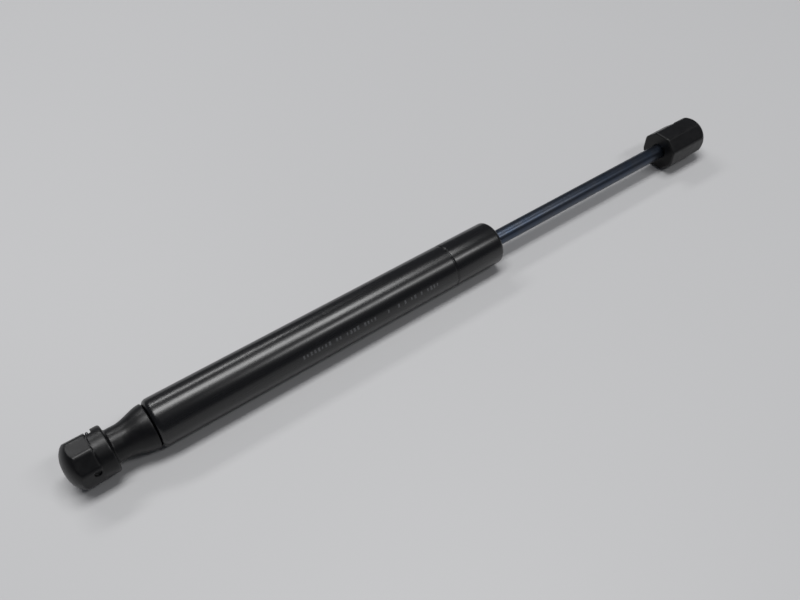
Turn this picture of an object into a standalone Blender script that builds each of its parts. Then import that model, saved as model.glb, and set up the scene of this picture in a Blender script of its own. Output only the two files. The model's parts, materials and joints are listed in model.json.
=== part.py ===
"""Gas strut stay: a gas spring with a moulded ball socket on each end.

The strut lies along X on its tube, rod end at +X, with both ball sockets opening towards +Y.
The origin is under the middle of its length, on the surface that the tube lies on.
All sizes are in metres. A turned profile is a list of (x, radius) points about the strut's axis.
Places along the strut are measured from a datum 1 mm behind the crease that holds the guide, and
the assemblies stand at MIDDLE_SHIFT, which brings the middle of the length over the origin.
"""

import math

import bmesh
import bpy

# Driving dimensions
CYLINDER_TIP = -0.191
ROD_TIP = 0.189
BALL_CENTRE_FROM_TIP = 0.0108
GAP = 0.0003
SIDES = 24

TUBE_RADIUS = 0.01105
TUBE_WALL = 0.0015
TUBE_CLOSED_END = -0.154
TUBE_ROD_END = 0.0306
TUBE_CORNER = 0.0028
LIP_RADIUS = 0.0065
CREASE_X = 0.001
CREASE_HALF_WIDTH = 0.0006
CREASE_DEPTH = 0.0004

ROD_RADIUS = 0.004
ROD_SHOULDER = -0.0026
ROD_TENON_RADIUS = 0.0029
ROD_TENON_END = -0.0193
ROD_SHANK_END = 0.1583
ROD_THREAD_END = 0.1672

STUD_RADIUS = 0.0039
STUD_END = -0.1689

HEAD_ACROSS_FLATS = 0.0204
HEAD_EDGE_BEVEL = 0.0009
HEAD_MOUTH_Y = 0.007
CYLINDER_DOME_DEPTH = 0.0076
ROD_DOME_DEPTH = 0.0098
DOME_RADIUS = 0.0114
BALL_SEAT_RADIUS = 0.00515
SEAT_CHAMFER = 0.0006
ROD_HEAD_BASE = 0.1568
HEAD_BASE_CHAMFER = 0.001
COLLAR_START = -0.1781
COLLAR_END = -0.1715
COLLAR_RADIUS = 0.0104
COLLAR_BEVEL = 0.0007
NECK_RADIUS = 0.0074
NECK_FLARE_RADIUS = 0.0101
NECK_FLARE_LENGTH = 0.0125

CLIP_WIRE_RADIUS = 0.0006
CLIP_FROM_BALL = 0.0032
CLIP_CHORD_Y = 0.0048
CLIP_ARM_Y = 0.0062
CLIP_ARM_END_Z = 0.0039
CLIP_HALF_HEIGHT = 0.0076
SLOT_NEAR_BALL = 0.0023
SLOT_FAR_FROM_BALL = 0.0049
SLOT_FLOOR_Y = 0.0039
BACK_RECESS_RADIUS = 0.0016
BACK_RECESS_DEPTH = 0.001
BACK_RECESS_Z = 0.002

# Derived dimensions
HALF_STEP = math.pi / SIDES
AXIS_HEIGHT = TUBE_RADIUS * math.cos(HALF_STEP)
TUBE_BORE = TUBE_RADIUS - TUBE_WALL
INNER_FIT = TUBE_BORE - GAP
ROD_CLEAR = ROD_RADIUS + GAP
TENON_CLEAR = ROD_TENON_RADIUS + GAP
STUD_CLEAR = STUD_RADIUS + GAP
MIDDLE_SHIFT = -(CYLINDER_TIP + ROD_TIP) / 2
NECK_END = TUBE_CLOSED_END - GAP
HEAD_CORNER_RADIUS = HEAD_ACROSS_FLATS / 2 / math.cos(math.pi / 8)

# Finishes: colour, roughness, metallic
FINISHES = {
    "black_paint": ((0.012, 0.012, 0.013), 0.22, 0.0),
    "nitrided_steel": ((0.035, 0.042, 0.06), 0.25, 0.9),
    "black_nylon": ((0.018, 0.018, 0.020), 0.55, 0.0),
    "plated_steel": ((0.55, 0.56, 0.58), 0.35, 1.0),
    "spring_steel": ((0.10, 0.10, 0.11), 0.35, 0.9),
    "brass": ((0.60, 0.43, 0.17), 0.35, 1.0),
    "black_rubber": ((0.015, 0.015, 0.015), 0.75, 0.0),
    "amber_polyurethane": ((0.45, 0.22, 0.04), 0.45, 0.0),
    "guide_plastic": ((0.50, 0.49, 0.44), 0.5, 0.0),
    "sintered_steel": ((0.20, 0.20, 0.21), 0.5, 0.9),
}


def clear_scene():
    """Remove every object, so that the script always starts from nothing."""
    for old in list(bpy.data.objects):
        bpy.data.objects.remove(old, do_unlink=True)


def new_collection(name):
    """Return a new collection linked into the scene."""
    made = bpy.data.collections.new(name)
    bpy.context.scene.collection.children.link(made)
    return made


def finish_material(name):
    """Return the material of one finish, making it the first time."""
    if name in bpy.data.materials:
        return bpy.data.materials[name]
    colour, roughness, metallic = FINISHES[name]
    made = bpy.data.materials.new(name)
    made.use_nodes = True
    shader = made.node_tree.nodes["Principled BSDF"]
    shader.inputs["Base Color"].default_value = (*colour, 1.0)
    shader.inputs["Roughness"].default_value = roughness
    shader.inputs["Metallic"].default_value = metallic
    return made


def assembly_empty(name):
    """Return an empty on the strut's axis, the parent of one moving assembly."""
    made = bpy.data.objects.new(name, None)
    made.location = (MIDDLE_SHIFT, 0.0, AXIS_HEIGHT)
    PARTS.objects.link(made)
    return made


def add_object(name, data, parent, finish=None, turn=HALF_STEP):
    """Link a mesh whose local Z lies along the strut; without a finish it is a cutter."""
    made = bpy.data.objects.new(name, data)
    made.parent = parent
    made.rotation_mode = "ZYX"
    made.rotation_euler = (turn, math.pi / 2, 0.0)
    if finish:
        data.materials.append(finish_material(finish))
        PARTS.objects.link(made)
    else:
        CUTTERS.objects.link(made)
        made.hide_render = True
        made.display_type = "WIRE"
    return made


def revolve(made):
    """Turn an object's profile once about its own Z."""
    screw = made.modifiers.new("Turned", "SCREW")
    screw.axis = "Z"
    screw.steps = SIDES
    screw.render_steps = SIDES
    screw.use_merge_vertices = True
    screw.merge_threshold = 0.00001
    screw.use_smooth_shade = True


def profile_mesh(name, profile):
    """Return a profile of (x, radius) points as edges; one that stays off the axis is closed."""
    mesh = bpy.data.meshes.new(name)
    count = len(profile)
    edges = [(i, i + 1) for i in range(count - 1)]
    if profile[0][1] > 0.0:
        edges.append((count - 1, 0))
    mesh.from_pydata([(radius, 0.0, x) for x, radius in profile], edges, [])
    return mesh


def turned(name, profile, parent, finish=None):
    """Return a turned piece, or a turned cutter without a finish."""
    made = add_object(name, profile_mesh(name, profile), parent, finish)
    revolve(made)
    return made


def ring(name, start, end, bore, radius, parent, finish):
    """Return a plain turned ring from start to end along the strut."""
    profile = [(end, bore), (end, radius), (start, radius), (start, bore)]
    return turned(name, profile, parent, finish)


def prism(name, corners, radius, start, end, parent, finish=None, edge_bevel=0.0):
    """Return a regular prism along the strut with a flat on top."""
    mesh = bpy.data.meshes.new(name)
    shape = bmesh.new()
    bmesh.ops.create_cone(shape, cap_ends=True, segments=corners, radius1=radius, radius2=radius,
                          depth=end - start)
    bmesh.ops.translate(shape, verts=shape.verts, vec=(0.0, 0.0, (start + end) / 2))
    if edge_bevel:
        long_edges = [edge for edge in shape.edges if abs(edge.verts[0].co.z - edge.verts[1].co.z) > GAP]
        bmesh.ops.bevel(shape, geom=long_edges, offset=edge_bevel, segments=1, affect="EDGES")
    shape.to_mesh(mesh)
    shape.free()
    return add_object(name, mesh, parent, finish, turn=math.pi / corners)


def box_cutter(name, low, high, parent):
    """Return a box cutter between two corners, measured from the strut's axis."""
    mesh = bpy.data.meshes.new(name)
    shape = bmesh.new()
    bmesh.ops.create_cube(shape, size=1.0)
    bmesh.ops.scale(shape, verts=shape.verts, vec=[b - a for a, b in zip(low, high)])
    bmesh.ops.translate(shape, verts=shape.verts, vec=[(a + b) / 2 for a, b in zip(low, high)])
    shape.to_mesh(mesh)
    shape.free()
    made = add_object(name, mesh, parent)
    made.rotation_euler = (0.0, 0.0, 0.0)
    return made


def combine(target, other, operation):
    """Join, intersect or cut the target with another object."""
    step = target.modifiers.new(other.name, "BOOLEAN")
    step.operation = operation
    step.solver = "EXACT"
    step.object = other


def arc(centre_x, centre_radius, radius, start_deg, end_deg, steps):
    """Return profile points on an arc; 0 degrees points along +X and 90 outwards."""
    angles = [math.radians(start_deg + (end_deg - start_deg) * i / steps) for i in range(steps + 1)]
    return [(centre_x + radius * math.cos(a), centre_radius + radius * math.sin(a)) for a in angles]


def make_tube(parent):
    """Pressure tube: both ends rolled in over the packages, with a crease that holds the guide."""
    corner_radius = TUBE_RADIUS - TUBE_CORNER
    crease_bottom = TUBE_RADIUS - CREASE_DEPTH
    profile = [(TUBE_ROD_END, LIP_RADIUS)]
    corner = arc(TUBE_ROD_END - TUBE_CORNER, corner_radius, TUBE_CORNER, 0, 90, 3)
    profile += corner
    profile += [(CREASE_X + CREASE_HALF_WIDTH, TUBE_RADIUS), (CREASE_X + 0.0002, crease_bottom),
                (CREASE_X - 0.0002, crease_bottom), (CREASE_X - CREASE_HALF_WIDTH, TUBE_RADIUS)]
    profile += arc(TUBE_CLOSED_END + TUBE_CORNER, corner_radius, TUBE_CORNER, 90, 180, 3)
    bore_start = TUBE_CLOSED_END + TUBE_WALL
    bore_end = TUBE_ROD_END - TUBE_WALL
    bead = CREASE_HALF_WIDTH + 0.0002
    bead_radius = TUBE_BORE - CREASE_DEPTH
    profile += [(TUBE_CLOSED_END, 0.005), (bore_start, 0.005), (bore_start, TUBE_BORE),
                (CREASE_X - bead, TUBE_BORE), (CREASE_X - 0.0004, bead_radius),
                (CREASE_X + 0.0004, bead_radius), (CREASE_X + bead, TUBE_BORE),
                (bore_end, TUBE_BORE), (bore_end, LIP_RADIUS)]
    turned("cylinder_tube", profile, parent, "black_paint")


def make_closed_end(parent):
    """Plug, its ring seal, and the threaded stud that the end socket screws onto."""
    inner = -0.146
    outer = TUBE_CLOSED_END + TUBE_WALL + GAP
    groove_low, groove_high, groove_radius = -0.1502, -0.1480, 0.0075
    turned("end_plug", [
        (inner, STUD_CLEAR), (inner, INNER_FIT - 0.0004), (inner - 0.0004, INNER_FIT),
        (groove_high, INNER_FIT), (groove_high, groove_radius), (groove_low, groove_radius),
        (groove_low, INNER_FIT), (outer, INNER_FIT), (outer, STUD_CLEAR)], parent, "plated_steel")

    section = 0.0007
    middle = (groove_low + groove_high) / 2
    loop = arc(middle, INNER_FIT - section, section, 0, 360, 10)[:-1]
    turned("end_plug_seal", loop, parent, "black_rubber")

    flange = inner + GAP
    turned("cylinder_stud", [
        (flange + 0.002, 0.0), (flange + 0.002, 0.0054), (flange + 0.0014, 0.006), (flange, 0.006),
        (flange, STUD_RADIUS), (STUD_END + 0.0006, STUD_RADIUS), (STUD_END, STUD_RADIUS - 0.0006),
        (STUD_END, 0.0)], parent, "plated_steel")


def make_guide_package(parent):
    """Rings between the crease and the rolled lip, in order from the gas side outwards."""
    start = CREASE_X + CREASE_HALF_WIDTH + 0.0005
    ring("seal_support_ring", start, start + 0.0015, ROD_CLEAR, INNER_FIT, parent, "plated_steel")

    seal = start + 0.0015 + GAP
    seal_back = seal + 0.0055
    outer_lip, groove_top, groove_bottom, inner_lip = 0.0087, 0.0076, 0.0056, 0.0045
    turned("rod_seal", [
        (seal_back, inner_lip + 0.0001), (seal_back, INNER_FIT), (seal + 0.0008, INNER_FIT),
        (seal, outer_lip), (seal, groove_top), (seal + 0.0023, (groove_top + groove_bottom) / 2),
        (seal, groove_bottom), (seal, inner_lip), (seal + 0.0011, ROD_CLEAR),
        (seal + 0.0024, inner_lip + 0.0001)], parent, "black_rubber")

    washer = seal_back + GAP
    ring("guide_washer", washer, washer + 0.0012, ROD_CLEAR, INNER_FIT, parent, "plated_steel")

    guide = washer + 0.0012 + GAP
    guide_end = TUBE_ROD_END - 0.0056
    land, waist = 0.0025, 0.0086
    turned("rod_guide", [
        (guide_end, ROD_CLEAR), (guide_end, INNER_FIT), (guide_end - land, INNER_FIT),
        (guide_end - land - 0.0006, waist), (guide + land + 0.0006, waist), (guide + land, INNER_FIT),
        (guide, INNER_FIT), (guide, ROD_CLEAR)], parent, "guide_plastic")

    wiper = guide_end + GAP
    flange_end = TUBE_ROD_END - TUBE_WALL - GAP
    nose_end = TUBE_ROD_END - 0.0004
    nose_radius = LIP_RADIUS - 0.0004
    turned("rod_wiper", [
        (nose_end, ROD_CLEAR), (nose_end, 0.0054), (nose_end - 0.0007, nose_radius),
        (flange_end, nose_radius), (flange_end, INNER_FIT - 0.0008), (flange_end - 0.0008, INNER_FIT),
        (wiper, INNER_FIT), (wiper, ROD_CLEAR)], parent, "black_rubber")


def make_rod(parent):
    """Nitrided rod: tenon for the piston at one end, thread for the socket at the other."""
    turned("piston_rod", [
        (ROD_THREAD_END, 0.0), (ROD_THREAD_END, ROD_TENON_RADIUS - 0.0005),
        (ROD_THREAD_END - 0.0005, ROD_TENON_RADIUS), (ROD_SHANK_END, ROD_TENON_RADIUS),
        (ROD_SHANK_END, ROD_RADIUS - 0.0004), (ROD_SHANK_END - 0.0004, ROD_RADIUS),
        (ROD_SHOULDER, ROD_RADIUS), (ROD_SHOULDER, ROD_TENON_RADIUS),
        (ROD_TENON_END + 0.0005, ROD_TENON_RADIUS), (ROD_TENON_END, ROD_TENON_RADIUS - 0.0005),
        (ROD_TENON_END, 0.0)], parent, "nitrided_steel")


def make_piston_stack(parent, ring_parent):
    """Cushion, throttle disc, piston, its split ring, washer and nut, on the rod's tenon."""
    ring("rebound_cushion", ROD_SHOULDER, 0.0018, ROD_CLEAR, 0.008, parent, "amber_polyurethane")
    disc_top = ROD_SHOULDER - GAP
    ring("throttle_disc", -0.0041, disc_top, TENON_CLEAR, 0.0084, parent, "plated_steel")

    top, bottom = -0.0044, -0.0124
    groove_high, groove_low, groove_radius = -0.0068, -0.0100, 0.0074
    land = INNER_FIT - 0.0001
    piston = turned("piston", [
        (top, TENON_CLEAR), (top, land), (groove_high, land), (groove_high, groove_radius),
        (groove_low, groove_radius), (groove_low, land), (bottom, land), (bottom, TENON_CLEAR)],
        parent, "sintered_steel")
    port_radius, port_circle, ports = 0.0007, 0.0053, 4
    for i in range(ports):
        angle = math.radians(45) + 2 * math.pi * i / ports
        port = prism(f"port_cutter_{i + 1}", 8, port_radius, bottom - 0.001, top + 0.001, parent)
        port.location = (0.0, port_circle * math.cos(angle), port_circle * math.sin(angle))
        combine(piston, port, "DIFFERENCE")

    split = ring("piston_ring", groove_low + GAP, groove_high - GAP, groove_radius + GAP, INNER_FIT,
                 ring_parent, "guide_plastic")
    split_gap = box_cutter("ring_gap_cutter", (-0.012, -0.0004, 0.006), (-0.005, 0.0004, 0.011),
                           ring_parent)
    combine(split, split_gap, "DIFFERENCE")

    ring("piston_washer", -0.0139, bottom - GAP, TENON_CLEAR, 0.0065, parent, "plated_steel")
    nut = prism("piston_nut", 6, 0.0058, -0.0183, -0.0142, parent, "plated_steel")
    nut_bore = turned("nut_bore_cutter", [
        (-0.013, 0.0), (-0.013, TENON_CLEAR), (-0.0195, TENON_CLEAR), (-0.0195, 0.0)], parent)
    combine(nut, nut_bore, "DIFFERENCE")


def dome_profile(tip, dome_depth, towards_middle):
    """Return the domed end of a head from its tip outwards, as (x, radius) points."""
    points = []
    for i in range(7):
        depth = dome_depth * (i / 6) ** 1.5
        radius = DOME_RADIUS * math.sin(math.acos(1 - depth / dome_depth)) ** 0.92
        points.append((tip + towards_middle * depth, radius))
    points[0] = (tip, 0.0)
    return points


def ball_place(side):
    """Return the ball centre of the head on one side, -1 or +1."""
    return (ROD_TIP if side > 0 else CYLINDER_TIP) - side * BALL_CENTRE_FROM_TIP


def cut_ball_seat(head, side, parent):
    """Cut the mouth face, the ball seat and the clip slot of the head on one side (-1 or +1)."""
    name = "rod" if side > 0 else "cylinder"
    ball = ball_place(side)
    far = 0.015
    face_ends = sorted((ball + side * far, ball - side * SLOT_FAR_FROM_BALL))
    face = box_cutter(f"{name}_mouth_face_cutter", (face_ends[0], HEAD_MOUTH_Y, -far),
                      (face_ends[1], HEAD_MOUTH_Y + 0.01, far), parent)
    combine(head, face, "DIFFERENCE")

    chamfer_radius = BALL_SEAT_RADIUS + SEAT_CHAMFER
    profile = [(0.012, 0.0), (0.012, chamfer_radius), (HEAD_MOUTH_Y, chamfer_radius),
               (HEAD_MOUTH_Y - SEAT_CHAMFER, BALL_SEAT_RADIUS)]
    profile += arc(0.0, 0.0, BALL_SEAT_RADIUS, 90, 180, 6)[:-1]
    profile.append((-BALL_SEAT_RADIUS, 0.0))
    seat = turned(f"{name}_seat_cutter", profile, parent)
    seat.location = (ball, 0.0, 0.0)
    seat.rotation_euler = (-math.pi / 2, 0.0, 0.0)
    combine(head, seat, "DIFFERENCE")

    ends = sorted((ball - side * SLOT_NEAR_BALL, ball - side * SLOT_FAR_FROM_BALL))
    slot = box_cutter(f"{name}_slot_cutter", (ends[0], SLOT_FLOOR_Y, -far), (ends[1], 0.012, far), parent)
    combine(head, slot, "DIFFERENCE")


def make_cylinder_socket(parent):
    """Octagonal ball socket with a round collar and a neck that flares out to the tube."""
    head = prism("cylinder_end_socket", 8, HEAD_CORNER_RADIUS, CYLINDER_TIP - 0.001,
                 COLLAR_START + 0.0004, parent, "black_nylon", HEAD_EDGE_BEVEL)
    dome = dome_profile(CYLINDER_TIP, CYLINDER_DOME_DEPTH, 1)
    envelope = [(COLLAR_START + 0.001, 0.0), (COLLAR_START + 0.001, 0.012), (dome[-1][0], 0.012)]
    guide = turned("cylinder_dome_guide", envelope + dome[::-1], parent)
    combine(head, guide, "INTERSECT")

    flare = []
    for i in range(8):
        along = i / 7
        swell = (NECK_FLARE_RADIUS - NECK_RADIUS) * (1 + math.cos(math.pi * along)) / 2
        flare.append((NECK_END - NECK_FLARE_LENGTH * along, NECK_RADIUS + swell))
    spigot = COLLAR_START - 0.002
    neck = [(NECK_END, 0.0)] + flare + [
        (COLLAR_END, NECK_RADIUS), (COLLAR_END, COLLAR_RADIUS - COLLAR_BEVEL),
        (COLLAR_END - COLLAR_BEVEL, COLLAR_RADIUS), (COLLAR_START, COLLAR_RADIUS),
        (COLLAR_START, 0.0085), (spigot, 0.0085), (spigot, 0.0)]
    combine(head, turned("neck_guide", neck, parent), "UNION")
    cut_ball_seat(head, -1, parent)

    back = -HEAD_ACROSS_FLATS / 2
    recess = turned("back_recess_cutter", [
        (0.002, 0.0), (0.002, BACK_RECESS_RADIUS), (-BACK_RECESS_DEPTH, BACK_RECESS_RADIUS),
        (-BACK_RECESS_DEPTH, 0.0)], parent)
    recess.location = (ball_place(-1), back, BACK_RECESS_Z)
    recess.rotation_euler = (math.pi / 2, 0.0, 0.0)
    combine(head, recess, "DIFFERENCE")

    hole_end, hole_radius = -0.1697, 0.0058
    hole = turned("insert_hole_cutter", [
        (-0.150, 0.0), (-0.150, hole_radius), (hole_end, hole_radius), (hole_end, 0.0)], parent)
    combine(head, hole, "DIFFERENCE")
    insert_radius = hole_radius - GAP
    turned("cylinder_socket_insert", [
        (-0.1565, STUD_CLEAR), (-0.1565, insert_radius), (-0.1605, insert_radius),
        (-0.161, insert_radius - 0.0005), (-0.163, insert_radius - 0.0005), (-0.1635, insert_radius),
        (hole_end + GAP, insert_radius), (hole_end + GAP, STUD_CLEAR)], parent, "brass")


def make_rod_socket(parent):
    """Octagonal ball socket without a neck: the rod runs straight into its flat face."""
    head = prism("rod_end_socket", 8, HEAD_CORNER_RADIUS, ROD_HEAD_BASE, ROD_TIP + 0.001, parent,
                 "black_nylon", HEAD_EDGE_BEVEL)
    dome = dome_profile(ROD_TIP, ROD_DOME_DEPTH, -1)
    chamfer_radius = HEAD_CORNER_RADIUS - HEAD_BASE_CHAMFER
    base = ROD_HEAD_BASE
    envelope = dome + [(dome[-1][0], 0.012), (base + 0.0017, 0.012), (base + 0.0001, chamfer_radius),
                       (base + 0.0001, 0.0)]
    guide = turned("rod_dome_guide", envelope, parent)
    combine(head, guide, "INTERSECT")
    cut_ball_seat(head, 1, parent)

    hole_start, hole_end, hole_radius = 0.1588, 0.1682, 0.0053
    waist_start, waist_end = 0.1625, 0.1645
    mouth_radius = ROD_RADIUS + 0.0004
    hole = turned("rod_hole_cutter", [
        (hole_end, 0.0), (hole_end, hole_radius), (hole_start, hole_radius), (hole_start, mouth_radius),
        (0.150, mouth_radius), (0.150, 0.0)], parent)
    combine(head, hole, "DIFFERENCE")
    insert_radius = hole_radius - GAP
    turned("rod_socket_insert", [
        (hole_end - GAP, TENON_CLEAR), (hole_end - GAP, insert_radius),
        (waist_end + 0.0005, insert_radius), (waist_end, insert_radius - 0.0005),
        (waist_start, insert_radius - 0.0005), (waist_start - 0.0005, insert_radius),
        (hole_start + GAP, insert_radius), (hole_start + GAP, TENON_CLEAR)], parent, "brass")


def make_clip(name, side, parent):
    """Wire clip: its straight run crosses the seat in front of the ball, its arms hook the slot."""
    bend = (CLIP_ARM_Y - CLIP_CHORD_Y) / 2
    half = [(CLIP_ARM_Y, CLIP_ARM_END_Z)]
    half += arc(CLIP_CHORD_Y + bend, CLIP_HALF_HEIGHT - bend, bend, 0, 180, 8)
    path = half + [(y, -z) for y, z in reversed(half)]
    curve = bpy.data.curves.new(name, "CURVE")
    curve.dimensions = "3D"
    curve.bevel_depth = CLIP_WIRE_RADIUS
    curve.bevel_resolution = 2
    curve.use_fill_caps = True
    spline = curve.splines.new("POLY")
    spline.points.add(len(path) - 1)
    for point, (y, z) in zip(spline.points, path):
        point.co = (0.0, y, z, 1.0)
    curve.materials.append(finish_material("spring_steel"))
    made = bpy.data.objects.new(name, curve)
    made.parent = parent
    made.location = (ball_place(side) - side * CLIP_FROM_BALL, 0.0, 0.0)
    PARTS.objects.link(made)


clear_scene()
PARTS = new_collection("gas_strut_stay")
CUTTERS = new_collection("cutters")

cylinder = assembly_empty("cylinder_axis")
rod = assembly_empty("rod_axis")
piston_seat = assembly_empty("piston_ring_axis")

make_tube(cylinder)
make_closed_end(cylinder)
make_guide_package(cylinder)
make_cylinder_socket(cylinder)
make_clip("cylinder_socket_clip", -1, cylinder)
make_rod(rod)
make_piston_stack(rod, piston_seat)
make_rod_socket(rod)
make_clip("rod_socket_clip", 1, rod)
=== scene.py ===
"""Looks of the gas strut stay: turned steel, black paint, moulded nylon, and the studio around it."""

import json
import logging
import math
from collections.abc import Sequence
from dataclasses import dataclass
from enum import Enum

import bpy
from bpy.types import Material, NodeSocket, Object
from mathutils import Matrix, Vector


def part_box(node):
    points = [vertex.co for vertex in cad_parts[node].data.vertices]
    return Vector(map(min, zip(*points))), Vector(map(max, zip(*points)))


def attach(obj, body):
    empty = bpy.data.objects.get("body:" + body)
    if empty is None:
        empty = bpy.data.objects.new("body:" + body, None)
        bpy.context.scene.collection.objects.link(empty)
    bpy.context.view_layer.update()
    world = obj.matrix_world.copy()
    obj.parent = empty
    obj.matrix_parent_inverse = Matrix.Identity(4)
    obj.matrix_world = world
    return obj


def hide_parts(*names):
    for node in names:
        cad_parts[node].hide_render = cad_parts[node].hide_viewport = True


log = logging.getLogger("gas_strut_stay")

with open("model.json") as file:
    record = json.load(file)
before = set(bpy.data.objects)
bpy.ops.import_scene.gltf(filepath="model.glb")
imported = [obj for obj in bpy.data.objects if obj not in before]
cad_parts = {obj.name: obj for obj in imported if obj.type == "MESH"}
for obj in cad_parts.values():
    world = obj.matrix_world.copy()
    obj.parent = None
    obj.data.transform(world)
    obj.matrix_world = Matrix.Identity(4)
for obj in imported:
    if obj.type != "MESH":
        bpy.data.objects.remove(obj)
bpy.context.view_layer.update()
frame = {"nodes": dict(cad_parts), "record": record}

MM = 0.001
MERGE = 0.000001
PAST_HEAD = 12 * MM
TUBE_LOW, TUBE_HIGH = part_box("cylinder_tube")
ROD_LOW, ROD_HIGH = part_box("piston_rod")
AXIS_HEIGHT = (TUBE_LOW.z + TUBE_HIGH.z) / 2

Outline = list[tuple[float, float]]


class Body(Enum):
    """The CAD bodies that the pieces made here ride on."""

    CYLINDER = "cylinder"
    CYLINDER_CLIP = "cylinder_clip"
    ROD = "rod"
    ROD_CLIP = "rod_clip"


@dataclass(frozen=True)
class Corner:
    """One corner of a turned outline.

    Args:
        x: place along the strut, in metres.
        radius: distance from the strut's axis.
        fillet: radius that rounds the corner, or 0 for a sharp one.
    """

    x: float
    radius: float
    fillet: float = 0.0


def rounded(corners: Sequence[Corner], closed: bool, steps: int = 5) -> Outline:
    """Turn corners into outline points, with an arc where a corner has a fillet.

    Args:
        corners: the corners in order.
        closed: whether the last corner leads back to the first, as on a ring.
        steps: straight pieces in each arc.

    Returns:
        The points as (x, radius), with the first repeated at the end of a closed outline.
    """
    points: Outline = []
    count = len(corners)
    for i, corner in enumerate(corners):
        here = Vector((corner.x, corner.radius))
        at_end = i in (0, count - 1) and not closed
        if corner.fillet <= 0 or at_end:
            points.append((here.x, here.y))
            continue
        before, after = corners[i - 1], corners[(i + 1) % count]
        back = Vector((before.x, before.radius)) - here
        forth = Vector((after.x, after.radius)) - here
        half = back.angle(forth) / 2
        setback = min(corner.fillet / math.tan(half), 0.48 * back.length, 0.48 * forth.length)
        reach = setback * math.tan(half) / math.sin(half)
        centre = here + (back.normalized() + forth.normalized()).normalized() * reach
        start = here + back.normalized() * setback - centre
        sweep = start.angle_signed(here + forth.normalized() * setback - centre)
        for step in range(steps + 1):
            turn = -sweep * step / steps
            x = start.x * math.cos(turn) - start.y * math.sin(turn)
            radius = start.x * math.sin(turn) + start.y * math.cos(turn)
            points.append((centre.x + x, centre.y + radius))
    if closed:
        points.append(points[0])
    return points


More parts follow.
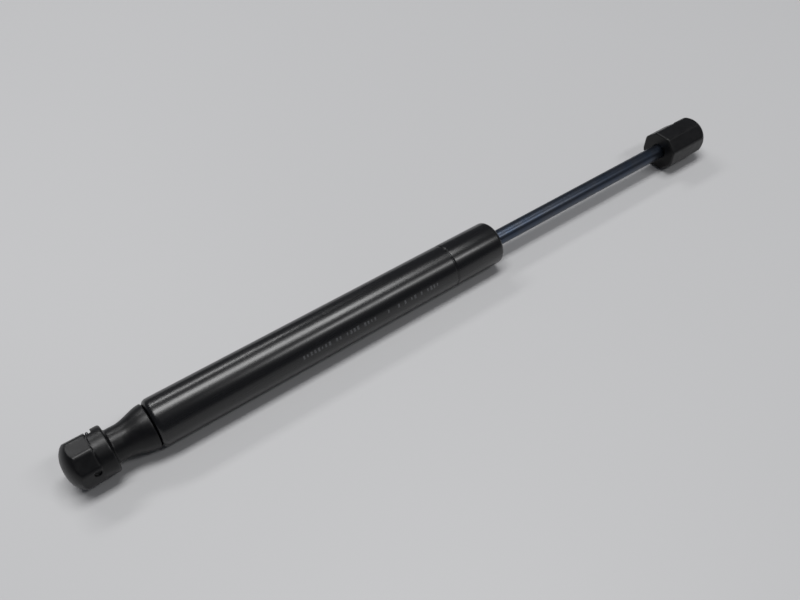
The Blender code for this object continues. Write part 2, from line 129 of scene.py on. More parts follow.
class Bench:
    """Modelling steps that several pieces share."""

    @staticmethod
    def pick(*objects: Object) -> None:
        """Select only these objects and make the first one active."""
        if bpy.context.object and bpy.context.object.mode != "OBJECT":
            bpy.ops.object.mode_set(mode="OBJECT")
        bpy.ops.object.select_all(action="DESELECT")
        for item in objects:
            item.select_set(True)
        if objects:
            bpy.context.view_layer.objects.active = objects[0]

    @staticmethod
    def settle(piece: Object) -> None:
        """Move a piece's place, turn and scale into its mesh."""
        Bench.pick(piece)
        bpy.ops.object.transform_apply(location=True, rotation=True, scale=True)

    @staticmethod
    def turn(name: str, outline: Outline, steps: int = 96) -> Object:
        """Spin an outline once around the strut's axis.

        Args:
            name: the piece's name.
            outline: (x, radius) points; an outline of a ring ends where it starts.
            steps: sides of the turned piece.

        Returns:
            The turned mesh, closed and facing outwards.
        """
        Bench.pick()
        x, radius = outline[0]
        bpy.ops.mesh.primitive_plane_add(size=MM, location=(x, 0.0, AXIS_HEIGHT + radius))
        piece = bpy.context.object
        piece.name = name
        bpy.ops.object.mode_set(mode="EDIT")
        bpy.ops.mesh.select_all(action="SELECT")
        bpy.ops.mesh.merge(type="CENTER")
        for next_x, next_radius in outline[1:]:
            move = (next_x - x, 0.0, next_radius - radius)
            bpy.ops.mesh.extrude_vertices_move(TRANSFORM_OT_translate={"value": move})
            x, radius = next_x, next_radius
        bpy.ops.mesh.select_all(action="SELECT")
        bpy.ops.mesh.spin(steps=steps, angle=2 * math.pi, center=(0.0, 0.0, AXIS_HEIGHT),
                          axis=(1.0, 0.0, 0.0))
        bpy.ops.mesh.select_all(action="SELECT")
        bpy.ops.mesh.remove_doubles(threshold=MERGE)
        bpy.ops.mesh.normals_make_consistent(inside=False)
        bpy.ops.object.mode_set(mode="OBJECT")
        Bench.settle(piece)
        Bench.smooth(piece)
        return piece

    @staticmethod
    def smooth(piece: Object, degrees: float = 32.0) -> None:
        """Shade a piece smooth, and sharp across edges steeper than the angle."""
        Bench.pick(piece)
        bpy.ops.object.shade_smooth_by_angle(angle=math.radians(degrees))

    @staticmethod
    def combine(target: Object, tool: Object, operation: str) -> None:
        """Join, intersect or cut the target with a tool piece, which is used up."""
        Bench.pick(target)
        bpy.ops.object.modifier_add(type="BOOLEAN")
        step = target.modifiers[-1]
        step.operation = operation
        step.solver = "EXACT"
        step.object = tool
        bpy.ops.object.modifier_apply(modifier=step.name)
        bpy.data.objects.remove(tool, do_unlink=True)

    @staticmethod
    def block(name: str, low: Vector, high: Vector) -> Object:
        """Return a box between two corners, as a cutting tool."""
        Bench.pick()
        bpy.ops.mesh.primitive_cube_add(size=1.0, location=(low + high) / 2)
        made = bpy.context.object
        made.name = name
        made.scale = high - low
        Bench.settle(made)
        return made

    @staticmethod
    def prism(name: str, sides: int, radius: float, start: float, end: float, bevel: float) -> Object:
        """Return a regular prism along the strut with a flat on top and rounded long edges."""
        Bench.pick()
        bpy.ops.mesh.primitive_cylinder_add(
            vertices=sides, radius=radius, depth=end - start,
            location=((start + end) / 2, 0.0, AXIS_HEIGHT), rotation=(0.0, math.pi / 2, 0.0))
        made = bpy.context.object
        made.name = name
        made.rotation_mode = "ZYX"
        made.rotation_euler = (math.pi / sides, math.pi / 2, 0.0)
        Bench.settle(made)
        bpy.ops.object.mode_set(mode="EDIT")
        bpy.ops.mesh.select_all(action="DESELECT")
        bpy.ops.object.mode_set(mode="OBJECT")
        for edge in made.data.edges:
            ends = [made.data.vertices[i].co.x for i in edge.vertices]
            edge.select = abs(ends[0] - ends[1]) > MM
        bpy.ops.object.mode_set(mode="EDIT")
        bpy.ops.mesh.select_mode(type="EDGE")
        bpy.ops.mesh.bevel(offset=bevel, segments=4, affect="EDGES")
        bpy.ops.mesh.select_mode(type="VERT")
        bpy.ops.object.mode_set(mode="OBJECT")
        return made

    @staticmethod
    def moulded(piece: Object, grain: float, passes: int, keep: float) -> None:
        """Round every edge of a piece the way a mould does.

        Args:
            piece: a closed mesh.
            grain: voxel size of the remesh.
            passes: smoothing passes, which set how round the edges become.
            keep: share of the faces that stays.
        """
        Bench.pick(piece)
        for kind in ("REMESH", "SMOOTH", "DECIMATE"):
            bpy.ops.object.modifier_add(type=kind)
            step = piece.modifiers[-1]
            if kind == "REMESH":
                step.mode = "VOXEL"
                step.voxel_size = grain
            elif kind == "SMOOTH":
                step.factor = 0.5
                step.iterations = passes
            else:
                step.ratio = keep
            bpy.ops.object.modifier_apply(modifier=step.name)
        bpy.ops.object.shade_smooth()


class ShaderSheet:
    """Shader nodes around one Principled BSDF, on the piece's Object coordinates."""

    def __init__(self, name: str, colour: tuple[float, float, float], roughness: float,
                 metallic: float, ior: float = 1.5) -> None:
        """Start a material with its plain values."""
        self.material = bpy.data.materials.new(name)
        self.material.use_nodes = True
        self.tree = self.material.node_tree
        self.shader = self.tree.nodes["Principled BSDF"]
        self.shader.inputs["Base Color"].default_value = (*colour, 1.0)
        self.shader.inputs["Roughness"].default_value = roughness
        self.shader.inputs["Metallic"].default_value = metallic
        self.shader.inputs["IOR"].default_value = ior
        self.place = self.node("ShaderNodeTexCoord").outputs["Object"]

    def node(self, kind: str, **settings: object) -> bpy.types.Node:
        """Add a node and set its properties."""
        made = self.tree.nodes.new(kind)
        for key, value in settings.items():
            setattr(made, key, value)
        return made

    def feed(self, socket: NodeSocket, source: NodeSocket | float) -> None:
        """Set a socket to a number or link it to another socket."""
        if isinstance(source, NodeSocket):
            self.tree.links.new(source, socket)
        else:
            socket.default_value = source

    def maths(self, operation: str, *values: NodeSocket | float, clamp: bool = False) -> NodeSocket:
        """Return the result of one Math node."""
        made = self.node("ShaderNodeMath", operation=operation, use_clamp=clamp)
        for socket, value in zip(made.inputs, values):
            self.feed(socket, value)
        return made.outputs[0]

    def stretched(self, scale: tuple[float, float, float]) -> NodeSocket:
        """Return the Object coordinates scaled by axis."""
        made = self.node("ShaderNodeMapping")
        self.tree.links.new(self.place, made.inputs["Vector"])
        made.inputs["Scale"].default_value = scale
        return made.outputs["Vector"]

    def noise(self, scale: float, detail: float = 3.0, rough: float = 0.55,
              place: NodeSocket | None = None) -> NodeSocket:
        """Return a noise value between 0 and 1."""
        made = self.node("ShaderNodeTexNoise")
        self.tree.links.new(place or self.place, made.inputs["Vector"])
        made.inputs["Scale"].default_value = scale
        made.inputs["Detail"].default_value = detail
        made.inputs["Roughness"].default_value = rough
        return made.outputs["Fac"]

    def span(self, value: NodeSocket, low: float, high: float, to_low: float = 0.0,
             to_high: float = 1.0) -> NodeSocket:
        """Map a value from one range to another, held at both ends."""
        made = self.node("ShaderNodeMapRange", clamp=True)
        for socket, number in zip(made.inputs[1:5], (low, high, to_low, to_high)):
            socket.default_value = number
        self.tree.links.new(value, made.inputs[0])
        return made.outputs[0]

    def blend(self, share: NodeSocket, first: Sequence[float] | NodeSocket,
              second: Sequence[float] | NodeSocket) -> NodeSocket:
        """Return a colour between two colours."""
        made = self.node("ShaderNodeMix", data_type="RGBA")
        self.tree.links.new(share, made.inputs[0])
        for socket, colour in ((made.inputs[6], first), (made.inputs[7], second)):
            if isinstance(colour, NodeSocket):
                self.tree.links.new(colour, socket)
            else:
                socket.default_value = (*colour, 1.0)
        return made.outputs[2]

    def colour(self, source: NodeSocket) -> None:
        """Feed the base colour."""
        self.tree.links.new(source, self.shader.inputs["Base Color"])

    def roughness(self, source: NodeSocket) -> None:
        """Feed the roughness."""
        self.tree.links.new(source, self.shader.inputs["Roughness"])

    def relief(self, height: NodeSocket, depth: float, strength: float = 1.0) -> None:
        """Add a bump of a given depth in metres, on top of any earlier one."""
        made = self.node("ShaderNodeBump")
        made.inputs["Strength"].default_value = strength
        made.inputs["Distance"].default_value = depth
        self.tree.links.new(height, made.inputs["Height"])
        normal = self.shader.inputs["Normal"]
        if normal.is_linked:
            self.tree.links.new(normal.links[0].from_socket, made.inputs["Normal"])
        self.tree.links.new(made.outputs["Normal"], normal)

    def around_axis(self) -> tuple[NodeSocket, NodeSocket]:
        """Return the place along the strut, and the angle up from the -Y side, in radians."""
        split = self.node("ShaderNodeSeparateXYZ")
        self.tree.links.new(self.place, split.inputs[0])
        height = self.maths("SUBTRACT", split.outputs[2], AXIS_HEIGHT)
        across = self.maths("MULTIPLY", split.outputs[1], -1.0)
        return split.outputs[0], self.maths("ARCTAN2", height, across)


@dataclass(frozen=True)
class GlossPaint:
    """Stoved black paint with a faint skin, and a row of plain dashes printed on the side.

    Args:
        print_start: where the row of dashes starts along the strut.
        print_end: where it ends.
        print_angle: its angle up from the -Y side, in degrees.
    """

    print_start: float = -0.086
    print_end: float = -0.010
    print_angle: float = 20.0
    dash_pitch: float = 0.0019
    half_height: float = 0.0011
    gap_share: float = 0.28
    shortest: float = 0.22
    length_spread: float = 0.38
    lowest: float = 0.4
    height_spread: float = 0.6
    black: tuple[float, float, float] = (0.0014, 0.0014, 0.0018)
    faded: tuple[float, float, float] = (0.0024, 0.0025, 0.0032)
    ink: tuple[float, float, float] = (0.095, 0.097, 0.104)

    def dashes(self, sheet: ShaderSheet) -> NodeSocket:
        """Return a mask of the printed dashes."""
        along, angle = sheet.around_axis()
        column = sheet.maths("DIVIDE", along, self.dash_pitch)
        cell = sheet.maths("FLOOR", column)
        inside = sheet.maths("SUBTRACT", column, cell)
        chance = sheet.node("ShaderNodeTexWhiteNoise", noise_dimensions="1D")
        sheet.tree.links.new(cell, chance.inputs["W"])
        kept = sheet.maths("GREATER_THAN", chance.outputs["Value"], self.gap_share)
        width = sheet.maths("MULTIPLY_ADD", chance.outputs["Value"], self.length_spread, self.shortest)
        dash = sheet.maths("LESS_THAN", inside, width)
        offset = sheet.maths("SUBTRACT", angle, math.radians(self.print_angle))
        rise = sheet.maths("MULTIPLY", sheet.maths("ABSOLUTE", offset), AXIS_HEIGHT)
        tall = sheet.maths("MULTIPLY_ADD", chance.outputs["Value"], self.height_spread, self.lowest)
        reach = sheet.maths("MULTIPLY", tall, self.half_height)
        mask = sheet.maths("MULTIPLY", kept, dash)
        mask = sheet.maths("MULTIPLY", mask, sheet.maths("LESS_THAN", rise, reach))
        mask = sheet.maths("MULTIPLY", mask, sheet.maths("GREATER_THAN", along, self.print_start))
        mask = sheet.maths("MULTIPLY", mask, sheet.maths("LESS_THAN", along, self.print_end))
        worn = sheet.span(sheet.noise(2600.0, 2.0), 0.35, 0.62, 0.25, 1.0)
        return sheet.maths("MULTIPLY", mask, worn)

    def build(self) -> Material:
        """Return the paint as a material."""
        sheet = ShaderSheet("gloss_black_paint", self.black, 0.24, 0.0, 1.58)
        cloud = sheet.noise(38.0, 3.0)
        paint = sheet.blend(cloud, self.black, self.faded)
        sheet.colour(sheet.blend(self.dashes(sheet), paint, self.ink))
        scuffs = sheet.noise(300.0, 4.0, 0.6, sheet.stretched((0.12, 1.0, 1.0)))
        sheet.roughness(sheet.span(scuffs, 0.3, 0.75, 0.235, 0.30))
        sheet.relief(sheet.noise(520.0, 2.0), 0.000012, 0.35)
        sheet.relief(sheet.noise(4200.0, 2.0), 0.000002, 0.35)
        return sheet.material


@dataclass(frozen=True)
class PolishedSteel:
    """Round steel with fine marks that run around it.

    Args:
        name: the material's name.
        colour: metal colour.
        second: colour that it drifts to.
        roughness: lowest and highest roughness.
        metallic: share of metal in the shader.
        marks: depth of the turning marks, in metres.
    """

    name: str
    colour: tuple[float, float, float]
    second: tuple[float, float, float]
    roughness: tuple[float, float]
    metallic: float = 1.0
    marks: float = 0.000003

    def build(self) -> Material:
        """Return the steel as a material."""
        sheet = ShaderSheet(self.name, self.colour, self.roughness[0], self.metallic)
        sheet.colour(sheet.blend(sheet.span(sheet.noise(120.0, 4.0), 0.35, 0.65), self.colour,
                                 self.second))
        lines = sheet.noise(900.0, 3.0, 0.6, sheet.stretched((6.0, 0.06, 0.06)))
        sheet.roughness(sheet.span(lines, 0.3, 0.7, *self.roughness))
        sheet.relief(lines, self.marks, 0.5)
        return sheet.material


@dataclass(frozen=True)
class MouldedPlastic:
    """Moulded plastic or rubber with a fine sparked texture and faint flow marks.

    Args:
        name: the material's name.
        colour: body colour.
        second: colour of the flow marks.
        roughness: lowest and highest roughness.
        grain: bumps per metre.
        depth: depth of the texture, in metres.
        ior: index of refraction, which sets how much it shines.
    """

    name: str
    colour: tuple[float, float, float]
    second: tuple[float, float, float]
    roughness: tuple[float, float]
    grain: float = 2600.0
    depth: float = 0.00002
    ior: float = 1.5

    def build(self) -> Material:
        """Return the plastic as a material."""
        sheet = ShaderSheet(self.name, self.colour, self.roughness[0], 0.0, self.ior)
        flow = sheet.noise(90.0, 5.0, 0.6, sheet.stretched((0.5, 1.0, 1.0)))
        sheet.colour(sheet.blend(sheet.span(flow, 0.38, 0.66), self.colour, self.second))
        sheet.roughness(sheet.span(sheet.noise(420.0, 3.0), 0.3, 0.7, *self.roughness))
        sheet.relief(sheet.noise(self.grain, 3.0), self.depth, 0.5)
        sheet.relief(sheet.noise(300.0, 2.0), self.depth * 1.5, 0.25)
        return sheet.material


class Finish(Enum):
    """The record's material slots, each with its recipe."""

    black_paint = GlossPaint()
    nitrided_steel = PolishedSteel("nitrided_steel", (0.060, 0.078, 0.112), (0.075, 0.085, 0.105),
                                   (0.30, 0.40), 1.0)
    black_nylon = MouldedPlastic("black_nylon", (0.0016, 0.0016, 0.0020), (0.0030, 0.0030, 0.0036),
                                 (0.32, 0.42), ior=1.40)
    plated_steel = PolishedSteel("plated_steel", (0.56, 0.57, 0.59), (0.50, 0.50, 0.48), (0.28, 0.42))
    spring_steel = PolishedSteel("spring_steel", (0.10, 0.10, 0.11), (0.07, 0.07, 0.07), (0.30, 0.42))
    brass = PolishedSteel("brass", (0.62, 0.44, 0.17), (0.50, 0.34, 0.13), (0.28, 0.40))
    black_rubber = MouldedPlastic("black_rubber", (0.013, 0.013, 0.013), (0.020, 0.020, 0.020),
                                  (0.62, 0.78), 1800.0)
    amber_polyurethane = MouldedPlastic("amber_polyurethane", (0.46, 0.22, 0.04),
                                        (0.36, 0.16, 0.03), (0.38, 0.5), 900.0)
    guide_plastic = MouldedPlastic("guide_plastic", (0.50, 0.48, 0.43), (0.42, 0.41, 0.37),
                                   (0.42, 0.55), 1500.0)
    sintered_steel = PolishedSteel("sintered_steel", (0.22, 0.22, 0.23), (0.16, 0.16, 0.16),
                                   (0.42, 0.6), 1.0, 0.000008)


class FinishShop:
    """Makes each finish once and puts it on pieces."""

    def __init__(self) -> None:
        """Start with no finish made."""
        self.made: dict[Finish, Material] = {}

    def material(self, finish: Finish) -> Material:
        """Return the material of a finish."""
        if finish not in self.made:
            self.made[finish] = finish.value.build()
        return self.made[finish]

    def dress(self, piece: Object, finish: Finish) -> None:
        """Give a piece one finish all over."""
        piece.data.materials.clear()
        piece.data.materials.append(self.material(finish))

    def dress_carried_nodes(self) -> None:
        """Give every CAD node that stays in sight the finish of its slot."""
        for row in frame["record"]["subparts"]:
            self.dress(frame["nodes"][row["node"]], Finish[row["material_slot"]])


def install(piece: Object, node: str, body: Body, finish: Finish, shop: FinishShop) -> None:
    """Let a finished piece stand for its CAD node.

    Args:
        piece: the finished piece, in place.
        node: the CAD node that it replaces.
        body: the body that it rides on.
        finish: its finish, which is also its slot in the record.
        shop: where the finish is made.
    """
    shop.dress(piece, finish)
    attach(piece, body.value)
    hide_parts(node)
    log.info("%s: %d faces, rides on %s", piece.name, len(piece.data.polygons), body.value)


@dataclass
class PressureTube:
    """The painted tube, rolled in at both ends and creased over the guide."""

    wall: float = 1.5 * MM
    corner: float = 4.0 * MM
    inner_corner: float = 1.5 * MM
    crease_from_end: float = 29.6 * MM
    crease_half_width: float = 0.7 * MM
    crease_depth: float = 0.4 * MM
    crease_root_half_width: float = 0.15 * MM
    crease_edge_fillet: float = 0.5 * MM
    crease_root_fillet: float = 0.2 * MM
    bead_half_width: float = 0.3 * MM
    bead_fillet: float = 0.3 * MM
    lip_radius: float = 6.5 * MM
    lip_fillet: float = 0.4 * MM
    stud_lip_radius: float = 5.0 * MM
    stud_lip_fillet: float = 0.3 * MM

    def build(self, shop: FinishShop) -> None:
        """Turn the tube from its outline and paint it."""
        low, high = TUBE_LOW.x, TUBE_HIGH.x
        outer = AXIS_HEIGHT
        bore = outer - self.wall
        crease, half = high - self.crease_from_end, self.crease_half_width
        bottom = outer - self.crease_depth
        bead = bore - self.crease_depth
        root, bead_half = self.crease_root_half_width, self.bead_half_width
        edge_fillet, root_fillet = self.crease_edge_fillet, self.crease_root_fillet
        corners = [
            Corner(high, self.lip_radius, self.lip_fillet), Corner(high, outer, self.corner),
            Corner(crease + half, outer, edge_fillet), Corner(crease + root, bottom, root_fillet),
            Corner(crease - root, bottom, root_fillet), Corner(crease - half, outer, edge_fillet),
            Corner(low, outer, self.corner), Corner(low, self.stud_lip_radius, self.stud_lip_fillet),
            Corner(low + self.wall, self.stud_lip_radius, self.stud_lip_fillet),
            Corner(low + self.wall, bore, self.inner_corner),
            Corner(crease - half, bore, self.bead_fillet),
            Corner(crease - bead_half, bead, root_fillet), Corner(crease + bead_half, bead, root_fillet),
            Corner(crease + half, bore, self.bead_fillet),
            Corner(high - self.wall, bore, self.inner_corner),
            Corner(high - self.wall, self.lip_radius, self.lip_fillet)]
        piece = Bench.turn("pressure_tube", rounded(corners, closed=True, steps=6), 144)
        install(piece, "cylinder_tube", Body.CYLINDER, Finish.black_paint, shop)


@dataclass
class PistonRod:
    """The nitrided rod with its shouldered tenon and threaded end."""

    radius: float = 4.0 * MM
    tenon_radius: float = 2.9 * MM
    thread_depth: float = 0.35 * MM
    thread_pitch: float = 1.0 * MM
    shoulder_from_tail: float = 16.7 * MM
    shoulder_fillet: float = 0.2 * MM
    nut_thread: float = 4.8 * MM
    plain_tail: float = 1.0 * MM
    shank_from_tip: float = 8.9 * MM
    end_chamfer: float = 0.5 * MM

    def thread(self, start: float, end: float) -> list[Corner]:
        """Return the corners of a row of thread crests from start back to end."""
        count = int((start - end) / self.thread_pitch)
        corners: list[Corner] = []
        for i in range(count):
            x = start - i * self.thread_pitch
            corners.append(Corner(x, self.tenon_radius))
            corners.append(Corner(x - self.thread_pitch / 2, self.tenon_radius - self.thread_depth))
        return corners

    def build(self, shop: FinishShop) -> None:
        """Turn the rod with a thread at each end."""
        tip, tail = ROD_HIGH.x, ROD_LOW.x
        shank_end, shoulder = tip - self.shank_from_tip, tail + self.shoulder_from_tail
        small, chamfer = self.tenon_radius, self.end_chamfer
        corners = [Corner(tip, 0.0), Corner(tip, small - chamfer)]
        corners += self.thread(tip - chamfer, shank_end + chamfer)
        corners += [Corner(shank_end, small - self.thread_depth),
                    Corner(shank_end, self.radius, chamfer),
                    Corner(shoulder, self.radius, self.shoulder_fillet), Corner(shoulder, small)]
        corners += self.thread(tail + self.nut_thread, tail + self.plain_tail)
        corners += [Corner(tail + chamfer, small), Corner(tail, small - chamfer), Corner(tail, 0.0)]
        piece = Bench.turn("nitrided_rod", rounded(corners, closed=False), 96)
        install(piece, "piston_rod", Body.ROD, Finish.nitrided_steel, shop)


@dataclass
class BallSocket:
    """What both moulded ball sockets share.

    Args:
        side: -1 on the cylinder end and +1 on the rod end.
    """

    side: int
    flats: int = 8
    across_flats: float = 20.4 * MM
    edge_bevel: float = 1.0 * MM
    ball_from_tip: float = 10.8 * MM
    mouth_y: float = 7.0 * MM
    seat_radius: float = 5.15 * MM
    seat_chamfer: float = 0.6 * MM
    dome_depth: float = 7.6 * MM
    dome_radius: float = 11.4 * MM
    dome_fullness: float = 0.92
    slot_near_ball: float = 2.3 * MM
    slot_far_from_ball: float = 4.9 * MM
    slot_floor_y: float = 3.9 * MM
    grain: float = 0.19 * MM
    smoothing_passes: int = 7
    faces_kept: float = 0.45

    @property
    def node(self) -> str:
        """The CAD node of this socket."""
        return "rod_end_socket" if self.side > 0 else "cylinder_end_socket"

    @property
    def tip(self) -> float:
        """The socket's outer end along the strut."""
        low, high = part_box(self.node)
        return high.x if self.side > 0 else low.x

    @property
    def ball(self) -> float:
        """The ball centre along the strut."""
        return self.tip - self.side * self.ball_from_tip

    @property
    def corner_radius(self) -> float:
        """Radius over the corners of the octagon."""
        return self.across_flats / 2 / math.cos(math.pi / self.flats)

    def dome(self, steps: int = 14) -> Outline:
        """Return the domed end from its tip outwards."""
        points: Outline = []
        for i in range(steps + 1):
            depth = self.dome_depth * (i / steps) ** 1.5
            swell = math.sin(math.acos(1 - depth / self.dome_depth)) ** self.dome_fullness
            points.append((self.tip - self.side * depth, self.dome_radius * swell))
        points[0] = (self.tip, 0.0)
        return points

    def cut_mouth(self, head: Object) -> None:
        """Cut the flat mouth face, the ball seat and the clip's slot."""
        far = 15 * MM
        slot_end = self.ball - self.side * self.slot_far_from_ball
        face = sorted((self.tip + self.side * 2 * MM, slot_end))
        Bench.combine(head, Bench.block(
            "face_tool", Vector((face[0], self.mouth_y, AXIS_HEIGHT - far)),
            Vector((face[1], self.mouth_y + 10 * MM, AXIS_HEIGHT + far))), "DIFFERENCE")
        slot = sorted((self.ball - self.side * self.slot_near_ball, slot_end))
        Bench.combine(head, Bench.block(
            "slot_tool", Vector((slot[0], self.slot_floor_y, AXIS_HEIGHT - far)),
            Vector((slot[1], PAST_HEAD, AXIS_HEIGHT + far))), "DIFFERENCE")
        chamfer = self.seat_radius + self.seat_chamfer
        depth = self.mouth_y - self.seat_chamfer
        outline = [(PAST_HEAD, 0.0), (PAST_HEAD, chamfer), (self.mouth_y, chamfer),
                   (depth, self.seat_radius)]
        steps = 12
        for i in range(steps + 1):
            angle = math.pi / 2 * i / steps
            outline.append((-self.seat_radius * math.sin(angle), self.seat_radius * math.cos(angle)))
        outline[-1] = (-self.seat_radius, 0.0)
        self.bore(head, outline, Vector((self.ball, 0.0, 0.0)), math.pi / 2)

    def bore(self, head: Object, outline: Outline, centre: Vector, turn: float) -> None:
        """Cut a turned hollow whose outline runs along Y instead of X.

        Args:
            head: the socket.
            outline: (distance, radius) points along the hollow's own axis.
            centre: the hollow's origin, measured from the strut's axis.
            turn: +90 degrees to open towards +Y and -90 degrees towards -Y, in radians.
        """
        tool = Bench.turn("bore_tool", outline, 64)
        tool.location = (0.0, 0.0, -AXIS_HEIGHT)
        Bench.settle(tool)
        tool.rotation_euler = (0.0, 0.0, turn)
        tool.location = centre + Vector((0.0, 0.0, AXIS_HEIGHT))
        Bench.settle(tool)
        Bench.combine(head, tool, "DIFFERENCE")

    def finish_head(self, head: Object, name: str, body: Body, shop: FinishShop) -> None:
        """Round the moulding's edges and install it."""
        Bench.moulded(head, self.grain, self.smoothing_passes, self.faces_kept)
        head.name = name
        install(head, self.node, body, Finish.black_nylon, shop)


@dataclass
class CylinderSocket(BallSocket):
    """Socket with a round collar and a neck that flares out to the tube."""

    side: int = -1
    collar_from_tip: float = 12.9 * MM
    collar_width: float = 6.6 * MM
    collar_radius: float = 10.4 * MM
    collar_fillet: float = 1.0 * MM
    collar_near_fillet: float = 0.4 * MM
    spigot_radius: float = 8.5 * MM
    spigot_length: float = 2 * MM
    neck_radius: float = 7.4 * MM
    flare_radius: float = 10.1 * MM
    flare_length: float = 12.8 * MM
    neck_reach: float = 0.32 * MM
    neck_rim: float = 0.3 * MM
    neck_rim_chamfer: float = 0.5 * MM
    neck_straight: float = 1.9 * MM
    hole_radius: float = 5.8 * MM
    hole_from_tip: float = 21.3 * MM
    recess_radius: float = 1.6 * MM
    recess_depth: float = 1.0 * MM
    recess_z: float = 2.0 * MM

    @property
    def collar_start(self) -> float:
        """The collar's edge on the ball's side."""
        return self.tip + self.collar_from_tip

    @property
    def collar_end(self) -> float:
        """The collar's edge on the tube's side."""
        return self.collar_start + self.collar_width

    def neck(self) -> Outline:
        """Return the outline of the collar and the flared neck, from the tube outwards."""
        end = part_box(self.node)[1].x + self.neck_reach
        points = [(end, 0.0), (end, self.flare_radius - self.neck_rim_chamfer)]
        steps = 20
        for i in range(steps + 1):
            along = i / steps
            swell = (self.flare_radius - self.neck_radius) * (1 + math.cos(math.pi * along)) / 2
            points.append((end - self.neck_rim - self.flare_length * along, self.neck_radius + swell))
        spigot = self.collar_start - self.spigot_length
        corners = [
            Corner(self.collar_end + self.neck_straight, self.neck_radius),
            Corner(self.collar_end, self.neck_radius, self.collar_fillet),
            Corner(self.collar_end, self.collar_radius, self.collar_fillet),
            Corner(self.collar_start, self.collar_radius, self.collar_near_fillet),
            Corner(self.collar_start, self.spigot_radius), Corner(spigot, self.spigot_radius),
            Corner(spigot, 0.0)]
        return points + rounded(corners, closed=False)

    def build(self, shop: FinishShop) -> None:
        """Shape the head, join the neck, cut the hollows and mould it."""
        head = Bench.prism("octagon", self.flats, self.corner_radius, self.tip - 1 * MM,
                           self.collar_start + 0.4 * MM, self.edge_bevel)
        dome = self.dome()
        hood = self.collar_start + 1 * MM
        outline = [(hood, 0.0), (hood, PAST_HEAD), (dome[-1][0], PAST_HEAD)] + dome[::-1]
        Bench.combine(head, Bench.turn("dome_tool", outline), "INTERSECT")
        Bench.combine(head, Bench.turn("neck_tool", self.neck()), "UNION")
        self.cut_mouth(head)
        radius, depth = self.recess_radius, self.recess_depth
        recess = [(2 * MM, 0.0), (2 * MM, radius), (-depth, radius), (-depth, 0.0)]
        self.bore(head, recess, Vector((self.ball, -self.across_flats / 2, self.recess_z)), -math.pi / 2)
        hole_end = self.tip + self.hole_from_tip
        hole = [(TUBE_LOW.x + 4 * MM, 0.0), (TUBE_LOW.x + 4 * MM, self.hole_radius),
                (hole_end, self.hole_radius), (hole_end, 0.0)]
        Bench.combine(head, Bench.turn("hole_tool", hole), "DIFFERENCE")
        self.finish_head(head, "cylinder_end_moulding", Body.CYLINDER, shop)


@dataclass
class RodSocket(BallSocket):
    """Socket whose flat end takes the rod directly."""

    side: int = 1
    dome_depth: float = 9.8 * MM
    base_chamfer: float = 1.0 * MM
    base_chamfer_length: float = 1.6 * MM
    base_trim: float = 0.05 * MM
    hole_radius: float = 5.3 * MM
    hole_from_base: float = 2.0 * MM
    hole_length: float = 9.4 * MM
    mouth_radius: float = 4.12 * MM

    def build(self, shop: FinishShop) -> None:
        """Shape the head, cut the hollows and mould it."""
        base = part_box(self.node)[0].x
        head = Bench.prism("octagon", self.flats, self.corner_radius, base, self.tip + 1 * MM,
                           self.edge_bevel)
        dome = self.dome()
        rim = self.corner_radius - self.base_chamfer
        trimmed = base + self.base_trim
        outline = dome + [(dome[-1][0], PAST_HEAD), (base + self.base_chamfer_length, PAST_HEAD),
                          (trimmed, rim), (trimmed, 0.0)]
        Bench.combine(head, Bench.turn("dome_tool", outline), "INTERSECT")
        self.cut_mouth(head)
        start = base + self.hole_from_base
        end = start + self.hole_length
        hole = [(end, 0.0), (end, self.hole_radius), (start, self.hole_radius),
                (start, self.mouth_radius), (base - 5 * MM, self.mouth_radius), (base - 5 * MM, 0.0)]
        Bench.combine(head, Bench.turn("hole_tool", hole), "DIFFERENCE")
        self.finish_head(head, "rod_end_moulding", Body.ROD, shop)


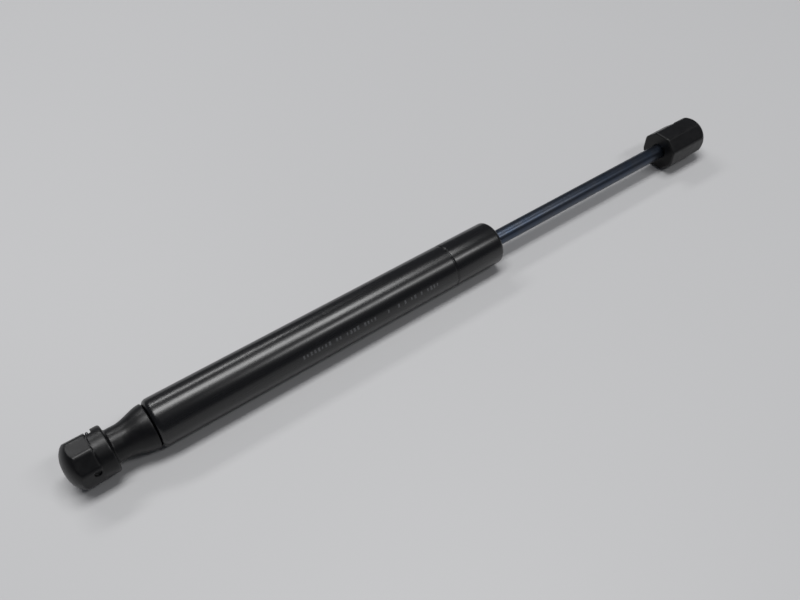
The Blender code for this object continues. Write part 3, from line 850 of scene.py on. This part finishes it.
@dataclass
class WireClip:
    """Bent wire clip that keeps the ball in its seat.

    Args:
        node: the clip's CAD node.
        name: the piece's name.
        body: the clip's body.
    """

    node: str
    name: str
    body: Body
    wire_radius: float = 0.6 * MM
    arm_y: float = 6.2 * MM
    chord_y: float = 4.8 * MM
    arm_end_z: float = 3.9 * MM
    half_height: float = 7.6 * MM

    def route(self) -> list[Vector]:
        """Return the wire's middle line as (y, z) points, with a half-round hairpin at each end."""
        bend = (self.arm_y - self.chord_y) / 2
        centre = Vector((self.chord_y + bend, self.half_height - bend))
        half = [Vector((self.arm_y, self.arm_end_z))]
        steps = 12
        for i in range(steps + 1):
            angle = math.pi * i / steps
            half.append(centre + bend * Vector((math.cos(angle), math.sin(angle))))
        return half + [Vector((v.x, -v.y)) for v in reversed(half)]

    def build(self, shop: FinishShop) -> None:
        """Extrude a point along the route and thicken it into wire."""
        low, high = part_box(self.node)
        x = (low.x + high.x) / 2
        path = self.route()
        Bench.pick()
        bpy.ops.mesh.primitive_plane_add(size=MM, location=(x, path[0].x, AXIS_HEIGHT + path[0].y))
        piece = bpy.context.object
        piece.name = self.name
        bpy.ops.object.mode_set(mode="EDIT")
        bpy.ops.mesh.select_all(action="SELECT")
        bpy.ops.mesh.merge(type="CENTER")
        for before, after in zip(path, path[1:]):
            move = (0.0, after.x - before.x, after.y - before.y)
            bpy.ops.mesh.extrude_vertices_move(TRANSFORM_OT_translate={"value": move})
        bpy.ops.object.mode_set(mode="OBJECT")
        bpy.ops.object.convert(target="CURVE")
        piece = bpy.context.object
        piece.data.bevel_depth = self.wire_radius
        piece.data.bevel_resolution = 6
        piece.data.use_fill_caps = True
        bpy.ops.object.convert(target="MESH")
        piece = bpy.context.object
        bpy.ops.object.mode_set(mode="EDIT")
        bpy.ops.mesh.select_all(action="SELECT")
        bpy.ops.mesh.remove_doubles(threshold=MERGE)
        bpy.ops.mesh.normals_make_consistent(inside=False)
        bpy.ops.object.mode_set(mode="OBJECT")
        Bench.settle(piece)
        Bench.smooth(piece, 50.0)
        install(piece, self.node, self.body, Finish.spring_steel, shop)


@dataclass(frozen=True)
class CeilingRow:
    """A long rectangular light in the ceiling that faces straight down.

    Args:
        name: the light's name.
        middle: its centre as (x, y).
        size: its length along X and its width along Y.
        power: its power in watts.
    """

    name: str
    middle: tuple[float, float]
    size: tuple[float, float]
    power: float

    def hang(self, height: float) -> None:
        """Hang the light at a height above the floor."""
        data = bpy.data.lights.new(self.name, "AREA")
        data.shape = "RECTANGLE"
        data.size, data.size_y = self.size
        data.energy = self.power
        made = bpy.data.objects.new(self.name, data)
        made.location = (*self.middle, height)
        bpy.context.scene.collection.objects.link(made)


@dataclass
class Studio:
    """Pale floor, soft lights and the camera. None of it belongs to the strut."""

    lens: float = 36.4
    sensor_width: float = 36.0
    camera_place: tuple[float, float, float] = (-0.1859, -0.2134, 0.2869)
    azimuth: float = -36.95
    elevation: float = 46.6
    floor_size: float = 6.0
    floor_drop: float = 0.02 * MM
    floor_middle: tuple[float, float, float] = (0.51, 0.51, 0.515)
    floor_dark: tuple[float, float, float] = (0.50, 0.50, 0.505)
    floor_light: tuple[float, float, float] = (0.52, 0.52, 0.525)
    floor_roughness: float = 0.50
    ceiling: float = 2.0
    room_tint: tuple[float, float, float] = (0.86, 0.90, 1.0)
    room_glow: float = 0.11
    rows: tuple[CeilingRow, ...] = (
        CeilingRow("row_overhead", (0.02, 0.19), (1.85, 0.60), 31.0),
        CeilingRow("row_far", (-0.20, 2.09), (1.60, 0.50), 23.0),
        CeilingRow("row_near", (1.10, -1.32), (1.40, 0.40), 16.0))

    def camera(self) -> None:
        """Put the camera above the near side of the cylinder end."""
        data = bpy.data.cameras.new("camera")
        data.lens = self.lens
        data.sensor_width = self.sensor_width
        data.clip_start = 0.01
        made = bpy.data.objects.new("camera", data)
        made.location = self.camera_place
        made.rotation_euler = (math.radians(90 - self.elevation), 0.0, math.radians(self.azimuth))
        bpy.context.scene.collection.objects.link(made)
        bpy.context.scene.camera = made

    def floor(self) -> None:
        """Lay a pale, slightly glossy floor under the strut."""
        Bench.pick()
        bpy.ops.mesh.primitive_plane_add(size=self.floor_size, location=(0.0, 0.0, -self.floor_drop))
        floor = bpy.context.object
        floor.name = "floor"
        sheet = ShaderSheet("pale_floor", self.floor_middle, self.floor_roughness, 0.0)
        cloud = sheet.noise(2.5, 3.0)
        sheet.colour(sheet.blend(cloud, self.floor_dark, self.floor_light))
        floor.data.materials.append(sheet.material)

    def lights(self) -> None:
        """Hang three rows of ceiling lights along the strut, which streak its round surfaces."""
        world = bpy.data.worlds.new("room")
        world.use_nodes = True
        background = world.node_tree.nodes["Background"]
        background.inputs[0].default_value = (*self.room_tint, 1.0)
        background.inputs[1].default_value = self.room_glow
        bpy.context.scene.world = world
        for row in self.rows:
            row.hang(self.ceiling)

    def build(self) -> None:
        """Set up the whole studio."""
        bpy.context.scene.view_settings.view_transform = "Standard"
        self.camera()
        self.floor()
        self.lights()


def main() -> None:
    """Build the strut's pieces in order and set up the studio."""
    logging.basicConfig(level=logging.INFO, format="%(name)s: %(message)s")
    shop = FinishShop()
    shop.dress_carried_nodes()
    for part in (PressureTube(), PistonRod(), CylinderSocket(), RodSocket(),
                 WireClip("cylinder_socket_clip", "cylinder_wire_clip", Body.CYLINDER_CLIP),
                 WireClip("rod_socket_clip", "rod_wire_clip", Body.ROD_CLIP)):
        part.build(shop)
    Studio().build()


if __name__ == "__main__":
    main()
